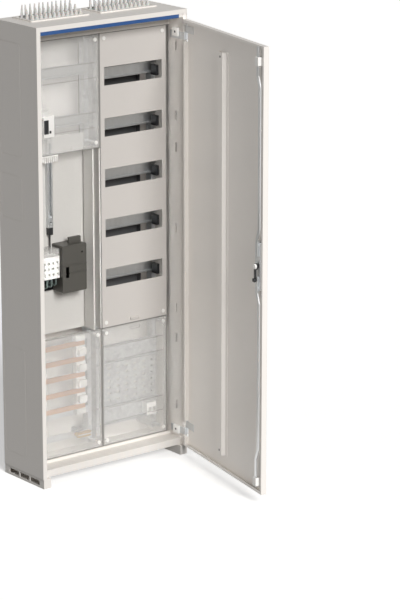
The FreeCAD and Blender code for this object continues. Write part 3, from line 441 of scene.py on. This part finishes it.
# ---- frame nodes --------------------------------------------------------------------------------
class CABINET_OT_casing(bpy.types.Operator):
    """Coat the casing, the foot rails and the door"""
    bl_idname = "cabinet.casing"
    bl_label = "Casing and door"

    def execute(self, context):
        look = context.scene.cabinet_look
        finish(powder_coated_steel(look), "side_wall_left", "side_wall_right", "top_panel", "back_wall",
               "bottom_panel", "stile_left", "stile_right", "head_rail", "sill", "foot_rail_left",
               "foot_rail_right", "door_panel", "door_stiffener", "cable_flange_left",
               "cable_flange_right")
        finish(extruded_pvc("extruded_pvc_blue", look.strip, (0.3, 0.4)), "title_strip")
        return {"FINISHED"}


class CABINET_OT_covers(bpy.types.Operator):
    """Give the covers and their fasteners moulded finishes"""
    bl_idname = "cabinet.covers"
    bl_label = "Covers"

    def execute(self, context):
        look = context.scene.cabinet_look
        finish(spark_textured_abs(look), "distribution_cover")
        finish(moulded_polycarbonate("moulded_polycarbonate", look.clear, look.clear_body),
               "data_cover", "upper_meter_cover", "busbar_cover", "terminal_lid")
        pale = moulded_plastic("moulded_polyamide_pale", look.white, (0.4, 0.5))
        finish(pale, "distribution_fasteners", "data_fasteners", "upper_meter_fasteners",
               "busbar_fasteners", "terminal_block", "rod_guides", "busbar_supports",
               "switch_body", "data_socket")
        return {"FINISHED"}


class CABINET_OT_metalwork(bpy.types.Operator):
    """Plate the rails, uprights, bars, rods and hinges"""
    bl_idname = "cabinet.metalwork"
    bl_label = "Rails and rods"

    def execute(self, context):
        look = context.scene.cabinet_look
        finish(zinc_plated_steel(look), "din_rail_1", "din_rail_2", "din_rail_3", "din_rail_4",
               "din_rail_5", "meter_field_rails", "hanger_bar", "meter_hook", "lock_rod_upper",
               "lock_rod_lower", "hinge_door_halves", "hinge_frame_halves", "lock_case")
        finish(galvanised_sheet(look), "field_uprights", "support_rails", "data_plate")
        return {"FINISHED"}


class CABINET_OT_conductors(bpy.types.Operator):
    """Finish the busbars, the earth terminals and the short conductors"""
    bl_idname = "cabinet.conductors"
    bl_label = "Conductors"

    def execute(self, context):
        look = context.scene.cabinet_look
        finish(drawn_copper(look), "phase_busbars", "neutral_busbar", "earth_busbar")
        finish(turned_brass(look), "earth_terminals")
        finish(extruded_pvc("extruded_pvc_grey", look.wire, (0.35, 0.45)), "terminal_wires")
        return {"FINISHED"}


class CABINET_OT_meter_space(bpy.types.Operator):
    """Finish the meter plate, its ducts, the hood, the rod and the toggle"""
    bl_idname = "cabinet.meter_space"
    bl_label = "Meter space"

    def execute(self, context):
        look = context.scene.cabinet_look
        finish(moulded_plastic("moulded_polystyrene_plate", look.plate, (0.42, 0.55)),
               "meter_plate", "meter_channels")
        finish(moulded_plastic("moulded_polyamide_hood", look.hood, (0.34, 0.46)), "terminal_hood")
        finish(moulded_plastic("moulded_polyamide_black", look.black, (0.3, 0.42)),
               "switch_toggle", "meter_rod", "door_handle", "rail_end_stops")
        return {"FINISHED"}


# ---- mesh pieces --------------------------------------------------------------------------------
class CABINET_OT_device_shade_sheet(bpy.types.Operator):
    """Bend the dark sheet behind the device rows: painted shade for the shaded depth of the device field
    """
    bl_idname = "cabinet.device_liner"
    bl_label = "Device liner"

    def execute(self, context):
        material = shade_board_finish(context.scene.cabinet_look)
        low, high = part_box("distribution_cover")
        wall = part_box("back_wall")[0].y
        edge, thick, flange = 16 * MM, 1.2 * MM, 20 * MM
        x0, x1 = low.x + edge, high.x - edge
        z0, z1 = low.z + edge, high.z - edge
        face = wall - 3 * MM
        bm = bmesh.new()
        block(bm, (x0, face - thick, z0), (x1, face, z1), 0.3 * MM)
        for side in (x0, x1 - thick):
            block(bm, (side, face - flange, z0), (side + thick, face - 0.4 * MM, z1), 0.3 * MM)
        piece("device_shade_sheet", bm, material, "cabinet")
        return {"FINISHED"}


class CABINET_OT_cover_seals(bpy.types.Operator):
    """Lay the thin foam seal round each cover's edge"""
    bl_idname = "cabinet.cover_seals"
    bl_label = "Cover seals"

    def execute(self, context):
        material = soft_foam(context.scene.cabinet_look)
        wide, proud = 1.6 * MM, 0.25 * MM
        for name in ("distribution_cover", "data_cover", "upper_meter_cover", "busbar_cover"):
            low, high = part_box(name)
            front, back = low.y + GRIP - proud, low.y + GRIP + 3 * MM
            bm = bmesh.new()
            for x in (low.x - 0.1 * MM, high.x - wide + 0.1 * MM):
                block(bm, (x, front, low.z), (x + wide, back, high.z), 0.1 * MM)
            for z in (low.z - 0.1 * MM, high.z - wide + 0.1 * MM):
                block(bm, (low.x, front, z), (high.x, back, z + wide), 0.1 * MM)
            piece(name + "_seal", bm, material, name + "_body")
        return {"FINISHED"}


class CABINET_OT_shade_pockets(bpy.types.Operator):
    """Line the switch's well and set the tray behind the short conductors, both dark sheets of painted
    shade
    """
    bl_idname = "cabinet.dark_pockets"
    bl_label = "Dark pockets"

    def execute(self, context):
        dark = bpy.data.materials["moulded_polyamide_black"]
        low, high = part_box("switch_toggle")
        body_low, body_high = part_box("switch_body")
        middle, half, skin = (body_low.z + body_high.z) / 2, 19 * MM, 0.5 * MM
        x0, x1 = low.x - 0.45 * MM, high.x + 0.45 * MM
        front, back = body_low.y + 0.3 * MM, body_low.y + 20.8 * MM
        # Painted shade: a black lining that darkens the switch's well.
        bm = bmesh.new()
        block(bm, (x0, back - skin, middle - half), (x1, back, middle + half))
        for z in (middle - half, middle + half - skin):
            block(bm, (x0, front, z), (x1, back, z + skin))
        for x in (x0 - 0.02 * MM, x1 - 0.38 * MM):
            block(bm, (x, front, middle - half), (x + 0.4 * MM, back, middle + half))
        piece("switch_well_shade", bm, dark, "cabinet")
        # Painted shade: a black tray that darkens the space behind the short conductors.
        low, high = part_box("terminal_block")
        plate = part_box("meter_plate")[0].y
        lip = 1.5 * MM
        bottom, top = low.z - 44 * MM, low.z - 0.5 * MM
        front, back = plate - 9 * MM, plate - 1 * MM        # of the tray's turned edges
        bm = bmesh.new()
        block(bm, (low.x, plate - lip, bottom), (high.x, plate - 0.2 * MM, top), 0.3 * MM)
        block(bm, (low.x, front, bottom), (high.x, back, bottom + lip), 0.4 * MM)
        for x in (low.x, high.x - lip):
            block(bm, (x, front, bottom), (x + lip, back, top), 0.4 * MM)
        piece("wire_shade_tray", bm, dark, "cabinet")
        return {"FINISHED"}


class CABINET_OT_switch_flap(bpy.types.Operator):
    """Mould the black flap and pale frame over the switch, on the clear cover"""
    bl_idname = "cabinet.switch_flap"
    bl_label = "Switch flap"

    def execute(self, context):
        pale = bpy.data.materials["moulded_polyamide_pale"]
        dark = bpy.data.materials["moulded_polyamide_black"]
        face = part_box("upper_meter_cover")[0].y + GRIP
        low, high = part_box("switch_body")
        middle = (low.z + high.z) / 2
        wide, tall, frame_tall, margin = 16 * MM, 42 * MM, 64 * MM, 1 * MM
        left, right = low.x - margin, high.x + margin
        bm = bmesh.new()
        block(bm, (left, face - 1.2 * MM, middle - frame_tall / 2),
              (right, face + 0.2 * MM, middle + frame_tall / 2), 0.5 * MM)
        piece("switch_flap_frame", bm, pale, "upper_meter_cover_body")
        bm = bmesh.new()
        block(bm, (left + margin, face - 3.4 * MM, middle - tall / 2),
              (left + margin + wide, face - 0.8 * MM, middle + tall / 2), 1.1 * MM)
        for row in range(3):
            z = middle + (row - 1) * 4 * MM
            block(bm, (left + 3 * MM, face - 3.95 * MM, z - 0.8 * MM),
                  (left + wide - 1 * MM, face - 3.0 * MM, z + 0.8 * MM), 0.4 * MM)
        block(bm, (left + 4 * MM + wide, face - 1.9 * MM, middle - 20 * MM),
              (left + 11 * MM + wide, face - 1.0 * MM, middle - 12 * MM), 0.4 * MM)
        piece("switch_flap", bm, dark, "upper_meter_cover_body")
        return {"FINISHED"}


class CABINET_OT_cable_fingers(bpy.types.Operator):
    """Mould the soft membranes with their rows of closed cable fingers"""
    bl_idname = "cabinet.cable_fingers"
    bl_label = "Cable fingers"

    def execute(self, context):
        detail = context.scene.cabinet_detail
        material = soft_elastomer(context.scene.cabinet_look)
        for hand in ("left", "right"):
            draw = random.Random(hand)
            low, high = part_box("nozzle_strip_" + hand)
            sheet_top = low.z + 2.0 * MM
            bm = bmesh.new()
            block(bm, low, (high.x, high.y, sheet_top), 0.5 * MM)
            pitch = (high.x - low.x - 4 * MM) / detail.fingers
            for row in range(detail.finger_rows):
                y = low.y + (high.y - low.y) * (row + 0.5) / detail.finger_rows
                for i in range(detail.fingers):
                    x = (low.x + high.x) / 2 + (i - (detail.fingers - 1) / 2) * pitch
                    tall = detail.finger_front + row * detail.finger_rise
                    tall *= 1 - 0.05 * draw.random()
                    axis = Vector((math.sin(draw.uniform(-1, 1) * detail.lean),
                                   math.sin(draw.uniform(-1, 1) * detail.lean), 1))
                    self.finger(bm, (x, y, sheet_top - 1 * MM), axis.normalized(), tall,
                                detail.finger_radius - row * 1.0 * MM)
            piece(f"cable_fingers_{hand}", bm, material, "cabinet",
                  ["nozzle_strip_" + hand])
        return {"FINISHED"}

    def finger(self, bm, base, axis, tall, wide):
        """One finger: root bead, tapered wall with two cutting rings, and a blunt closed tip."""
        tip = wide * 0.42
        profile = [(0.0, 0), (0.0, wide * 1.12), (1.6 * MM, wide * 1.12), (2.2 * MM, wide)]
        for share in (0.35, 0.65):
            radius = wide + (tip - wide) * share
            at = tall * share
            profile += [(at - 0.7 * MM, radius + 0.1 * MM), (at - 0.2 * MM, radius + 0.6 * MM),
                        (at + 0.6 * MM, radius + 0.6 * MM), (at + 1.1 * MM, radius - 0.1 * MM)]
        profile += [(tall - 1.4 * MM, tip), (tall - 0.5 * MM, tip * 0.82), (tall - 0.1 * MM, tip * 0.45),
                    (tall, 0)]
        turned(bm, profile, base, axis)


class CABINET_OT_cover_lines(bpy.types.Operator):
    """Mould the break-out lines of the clear covers"""
    bl_idname = "cabinet.cover_lines"
    bl_label = "Cover lines"

    def execute(self, context):
        detail = context.scene.cabinet_detail
        look = context.scene.cabinet_look
        # Painted shade: the clear ribs take the darker, less clear edge colour.
        material = moulded_polycarbonate("polycarbonate_edge_shade", look.edge, 0.62)
        module_row = 46 * MM
        side, line = 3 * MM, 1.4 * MM           # upright lines: from the cover's edge, and wide
        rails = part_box("meter_field_rails")
        rows = (rails[0].z + RAIL / 2, rails[1].z - RAIL / 2)
        data_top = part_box("data_cover")[1].z
        data_rows = (data_top - 85 * MM, data_top - 279 * MM)       # middles of its two rows
        for name, heights in (("upper_meter_cover", rows), ("data_cover", data_rows),
                              ("busbar_cover", ())):
            low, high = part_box(name)
            face = low.y + GRIP
            bm = bmesh.new()
            inset = 14 * MM
            for z in heights:
                for level in (z - module_row / 2, z + module_row / 2):
                    block(bm, (low.x + inset, face - detail.rib_height, level - detail.rib / 2),
                          (high.x - inset, face + 0.2 * MM, level + detail.rib / 2))
            if name == "upper_meter_cover":
                arc_rib(bm, Vector((low.x + 40 * MM, face, rows[0] + module_row / 2 + 16 * MM)), 22 * MM,
                        detail.rib, detail.rib_height, 0, math.pi)
            for x in (low.x + side, high.x - side - line):
                block(bm, (x, face - detail.rib_height, low.z + 6 * MM),
                      (x + line, face + 0.2 * MM, high.z - 6 * MM))
            piece(name + "_lines", bm, material, name + "_body")
        return {"FINISHED"}


class CABINET_OT_hinge_caps(bpy.types.Operator):
    """Mould the caps over the hinge leaves, with their screws"""
    bl_idname = "cabinet.hinge_caps"
    bl_label = "Hinge caps"

    def execute(self, context):
        detail = context.scene.cabinet_detail
        pale = bpy.data.materials["moulded_polyamide_pale"]
        dark = bpy.data.materials["moulded_polyamide_black"]
        low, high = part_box("hinge_frame_halves")
        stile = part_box("stile_right")[0]
        face, seat = stile.x - 9 * MM, stile.x - 2 * MM
        near, far = stile.y + 16 * MM, stile.y + 44 * MM
        for name, z in (("bottom", low.z + 11 * MM), ("top", high.z - 21 * MM)):
            bm = bmesh.new()
            block(bm, (face, near, z - detail.cap / 2), (seat, far, z + detail.cap / 2), 1.5 * MM)
            piece("hinge_cap_" + name, bm, pale, "cabinet")
            bm = bmesh.new()
            turned(bm, [(0, 0), (0, 3.4 * MM), (1.2 * MM, 3.4 * MM), (1.8 * MM, 2.6 * MM),
                        (1.2 * MM, 1.6 * MM), (1.2 * MM, 0)],
                   (face + 0.8 * MM, (near + far) / 2, z), (-1, 0, 0))
            piece("hinge_cap_screw_" + name, bm, dark, "cabinet")
        return {"FINISHED"}


class CABINET_OT_lock_fittings(bpy.types.Operator):
    """Make the lock's hub and latch lever, and the screws of its case"""
    bl_idname = "cabinet.lock_fittings"
    bl_label = "Lock fittings"

    def execute(self, context):
        detail = context.scene.cabinet_detail
        pale = bpy.data.materials["moulded_polyamide_pale"]
        dark = bpy.data.materials["moulded_polyamide_black"]
        zinc = bpy.data.materials["zinc_plated_steel"]
        low, high = closed_box("door_handle")
        case_low, case_high = closed_box("lock_case")
        spindle = Vector(((low.x + high.x) / 2, high.y, (case_low.z + case_high.z) / 2))
        bm = bmesh.new()
        turned(bm, [(0, 0), (0, 8 * MM), (4 * MM, 8 * MM), (5.2 * MM, 6.8 * MM), (5.2 * MM, 3.4 * MM),
                    (2.2 * MM, 3.0 * MM), (2.2 * MM, 0)], spindle, (0, 1, 0), 28)
        piece("lock_hub", bm, pale, "handle", turn=TURN_OPEN)
        bm = bmesh.new()
        block(bm, (spindle.x - 6 * MM, spindle.y + 0.2 * MM, spindle.z - detail.lever),
              (spindle.x + 6 * MM, spindle.y + 3.2 * MM, spindle.z - 6 * MM), 1.2 * MM)
        block(bm, (spindle.x - 7 * MM, spindle.y + 0.2 * MM, spindle.z - detail.lever - 4 * MM),
              (spindle.x + 7 * MM, spindle.y + 8 * MM, spindle.z - detail.lever + 6 * MM), 1.5 * MM)
        piece("latch_lever", bm, dark, "handle", turn=TURN_OPEN)
        bm = bmesh.new()
        for x in (case_low.x + 6 * MM, case_high.x - 6 * MM):
            for z in (case_low.z + 9 * MM, case_high.z - 9 * MM):
                turned(bm, [(-0.4 * MM, 0), (-0.4 * MM, 3.2 * MM), (0.5 * MM, 3.2 * MM),
                            (1.3 * MM, 2.2 * MM), (1.5 * MM, 0)], (x, case_high.y, z), (0, 1, 0), 16)
        piece("lock_case_screws", bm, zinc, "door", turn=TURN_OPEN)
        return {"FINISHED"}


class CABINET_OT_door_rivets(bpy.types.Operator):
    """Set the rivets that hold the door's stiffener"""
    bl_idname = "cabinet.door_rivets"
    bl_label = "Stiffener rivets"

    def execute(self, context):
        dark = bpy.data.materials["moulded_polyamide_black"]
        low, high = closed_box("door_stiffener")
        bm = bmesh.new()
        for z in (low.z + 14 * MM, high.z - 14 * MM):
            turned(bm, [(-0.3 * MM, 0), (-0.3 * MM, 3.6 * MM), (0.4 * MM, 3.4 * MM), (0.5 * MM, 2.2 * MM),
                        (0.1 * MM, 2.0 * MM), (0.1 * MM, 0)],
                   ((low.x + high.x) / 2, high.y, z), (0, 1, 0), 18)
        piece("stiffener_rivets", bm, dark, "door", turn=TURN_OPEN)
        return {"FINISHED"}


class CABINET_OT_terminal_screws(bpy.types.Operator):
    """Set the clamping screws of the earth terminals"""
    bl_idname = "cabinet.terminal_screws"
    bl_label = "Terminal screws"

    def execute(self, context):
        zinc = bpy.data.materials["zinc_plated_steel"]
        head = [(0, 0), (0, 2.4 * MM), (0.9 * MM, 2.4 * MM), (1.3 * MM, 1.7 * MM), (0.8 * MM, 1.1 * MM),
                (0.8 * MM, 0)]
        low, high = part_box("earth_terminals")
        count = 7
        bm = bmesh.new()
        for i in range(count):
            x = low.x + (high.x - low.x) * (i + 0.5) / count
            turned(bm, head, (x, low.y + 0.2 * MM, (low.z + high.z) / 2), (0, -1, 0), 14)
        piece("earth_screws", bm, zinc, "cabinet")
        return {"FINISHED"}


class CABINET_OT_wiring_comb(bpy.types.Operator):
    """Mould the wiring comb at the top of the meter space"""
    bl_idname = "cabinet.wiring_comb"
    bl_label = "Wiring comb"

    def execute(self, context):
        detail = context.scene.cabinet_detail
        pale = bpy.data.materials["moulded_polyamide_pale"]
        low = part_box("upper_meter_cover")[0]
        top, deep = low.z - 1.5 * MM, 22 * MM
        plane = low.y + 6 * MM
        x0, x1 = low.x + 4 * MM, low.x + 96 * MM
        bm = bmesh.new()
        block(bm, (x0, plane, top - 4 * MM), (x1, plane + 14 * MM, top), 0.6 * MM)
        teeth = 13
        for i in range(teeth):
            x = x0 + (x1 - x0 - detail.comb_tooth) * i / (teeth - 1)
            block(bm, (x, plane, top - deep), (x + detail.comb_tooth, plane + 10 * MM, top - 3 * MM),
                  0.5 * MM)
        piece("wiring_comb", bm, pale, "cabinet")
        return {"FINISHED"}


# ---- stage --------------------------------------------------------------------------------------
class CABINET_OT_stage(bpy.types.Operator):
    """Lay the pale floor, hang the soft lights and set the camera"""
    bl_idname = "cabinet.stage"
    bl_label = "Stage"

    def execute(self, context):
        studio = context.scene.cabinet_studio
        self.floor(context)
        self.lights(context, studio)
        self.camera(context, studio)
        return {"FINISHED"}

    def floor(self, context):
        bm = bmesh.new()
        bmesh.ops.create_circle(bm, cap_ends=True, radius=40.0, segments=96)
        mesh = bpy.data.meshes.new("floor")
        bm.to_mesh(mesh)
        bm.free()
        material, tree, shader = start("matt_studio_floor", linear("#F7F6F4"), Emission_Strength=0.42,
                                       Emission_Color=(1.0, 1.0, 1.0, 1.0))
        grain = add(tree, "ShaderNodeMapRange", None,
                    {"Value": noise(tree, 400.0), "To Min": 0.82, "To Max": 0.9})
        tree.links.new(grain.outputs[0], shader.inputs["Roughness"])
        mesh.materials.append(material)
        floor = bpy.data.objects.new("floor", mesh)
        floor.location.z = CAD_BOX[0].z
        floor.visible_diffuse = False       # keeps the walls' shading from being washed out
        context.scene.collection.objects.link(floor)

    def lights(self, context, studio):
        world = bpy.data.worlds.new("studio")
        context.scene.world = world
        world.use_nodes = True
        tree = world.node_tree
        tree.nodes.clear()
        path = add(tree, "ShaderNodeLightPath")
        seen = add(tree, "ShaderNodeMapRange", None,
                   {"Value": path.outputs["Is Camera Ray"], "To Min": studio.fill, "To Max": 1.0})
        level = add(tree, "ShaderNodeMath", {"operation": "MULTIPLY_ADD"},
                    {0: path.outputs["Is Glossy Ray"], 1: studio.sheen, 2: seen.outputs[0]})
        sky = add(tree, "ShaderNodeBackground", None,
                  {"Color": (1.0, 1.0, 1.0, 1.0), "Strength": level.outputs[0]})
        add(tree, "ShaderNodeOutputWorld", None, {"Surface": sky.outputs[0]})
        self.sun(context, "key", studio.key, KEY_FROM)
        meshes = [made for made in context.scene.objects if made.type == "MESH"]
        on_door = {"door", "handle", "upper_rod", "lower_rod"}
        self.keep_to(self.sun(context, "door_fill", studio.door_fill, DOOR_FILL_FROM),
                     [m for m in meshes if m.name in DOOR_LIT or m.get("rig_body") in on_door])
        self.keep_to(self.sun(context, "field_fill", studio.field_fill, FIELD_FILL_FROM),
                     [m for m in meshes if m.name in FIELD_LIT])

    def keep_to(self, lamp, pieces):
        """Lets a lamp light these pieces only."""
        lit = bpy.data.collections.new(lamp.name + "_lit")
        for made in pieces:
            lit.objects.link(made)
        lamp.light_linking.receiver_collection = lit

    def sun(self, context, name, energy, direction):
        """A broad soft light from one direction."""
        height, side = direction
        lamp = bpy.data.lights.new(name, "SUN")
        lamp.energy = energy
        lamp.angle = math.radians(24)
        made = bpy.data.objects.new(name, lamp)
        made.rotation_euler = (math.radians(90 - height), 0, math.radians(side))
        context.scene.collection.objects.link(made)
        return made

    def camera(self, context, studio):
        data = bpy.data.cameras.new("camera")
        data.lens = studio.lens
        data.clip_end = 200.0
        camera = bpy.data.objects.new("camera", data)
        back = Vector((-math.sin(studio.azimuth) * math.cos(studio.elevation),
                       -math.cos(studio.azimuth) * math.cos(studio.elevation),
                       math.sin(studio.elevation)))
        camera.location = AIM + back * studio.distance
        camera.rotation_euler = (math.pi / 2 - studio.elevation, 0, -studio.azimuth)
        context.scene.collection.objects.link(camera)
        context.scene.camera = camera
        context.scene.view_settings.view_transform = "Standard"


class CABINET_PT_panel(bpy.types.Panel):
    """Lists the cabinet's operators and settings"""
    bl_idname = "CABINET_PT_panel"
    bl_label = "Cabinet"
    bl_space_type = "VIEW_3D"
    bl_region_type = "UI"
    bl_category = "Cabinet"

    def draw(self, context):
        for operator in OPERATORS:
            self.layout.operator(operator.bl_idname)
        for name in SETTINGS:
            group = getattr(context.scene, name)
            box = self.layout.box()
            for prop in group.bl_rna.properties:
                if prop.identifier not in {"rna_type", "name"}:
                    box.prop(group, prop.identifier)


OPERATORS = (CABINET_OT_casing, CABINET_OT_covers, CABINET_OT_metalwork, CABINET_OT_conductors,
             CABINET_OT_meter_space, CABINET_OT_device_shade_sheet, CABINET_OT_cover_seals,
             CABINET_OT_shade_pockets, CABINET_OT_switch_flap, CABINET_OT_cable_fingers,
             CABINET_OT_cover_lines, CABINET_OT_hinge_caps, CABINET_OT_lock_fittings,
             CABINET_OT_door_rivets, CABINET_OT_terminal_screws, CABINET_OT_wiring_comb,
             CABINET_OT_stage)
SETTINGS = {"cabinet_look": CabinetLook, "cabinet_detail": CabinetDetail,
            "cabinet_studio": CabinetStudio}


def register():
    for group in SETTINGS.values():
        bpy.utils.register_class(group)
    for operator in OPERATORS:
        bpy.utils.register_class(operator)
    bpy.utils.register_class(CABINET_PT_panel)
    for name, group in SETTINGS.items():
        setattr(bpy.types.Scene, name, bpy.props.PointerProperty(type=group))


def unregister():
    for name in SETTINGS:
        delattr(bpy.types.Scene, name)
    for known in (CABINET_PT_panel, *reversed(OPERATORS), *SETTINGS.values()):
        bpy.utils.unregister_class(known)


def main():
    register()
    for operator in OPERATORS:
        group, name = operator.bl_idname.split(".")
        getattr(getattr(bpy.ops, group), name)()
    bpy.context.view_layer.update()


if __name__ == "__main__":
    main()
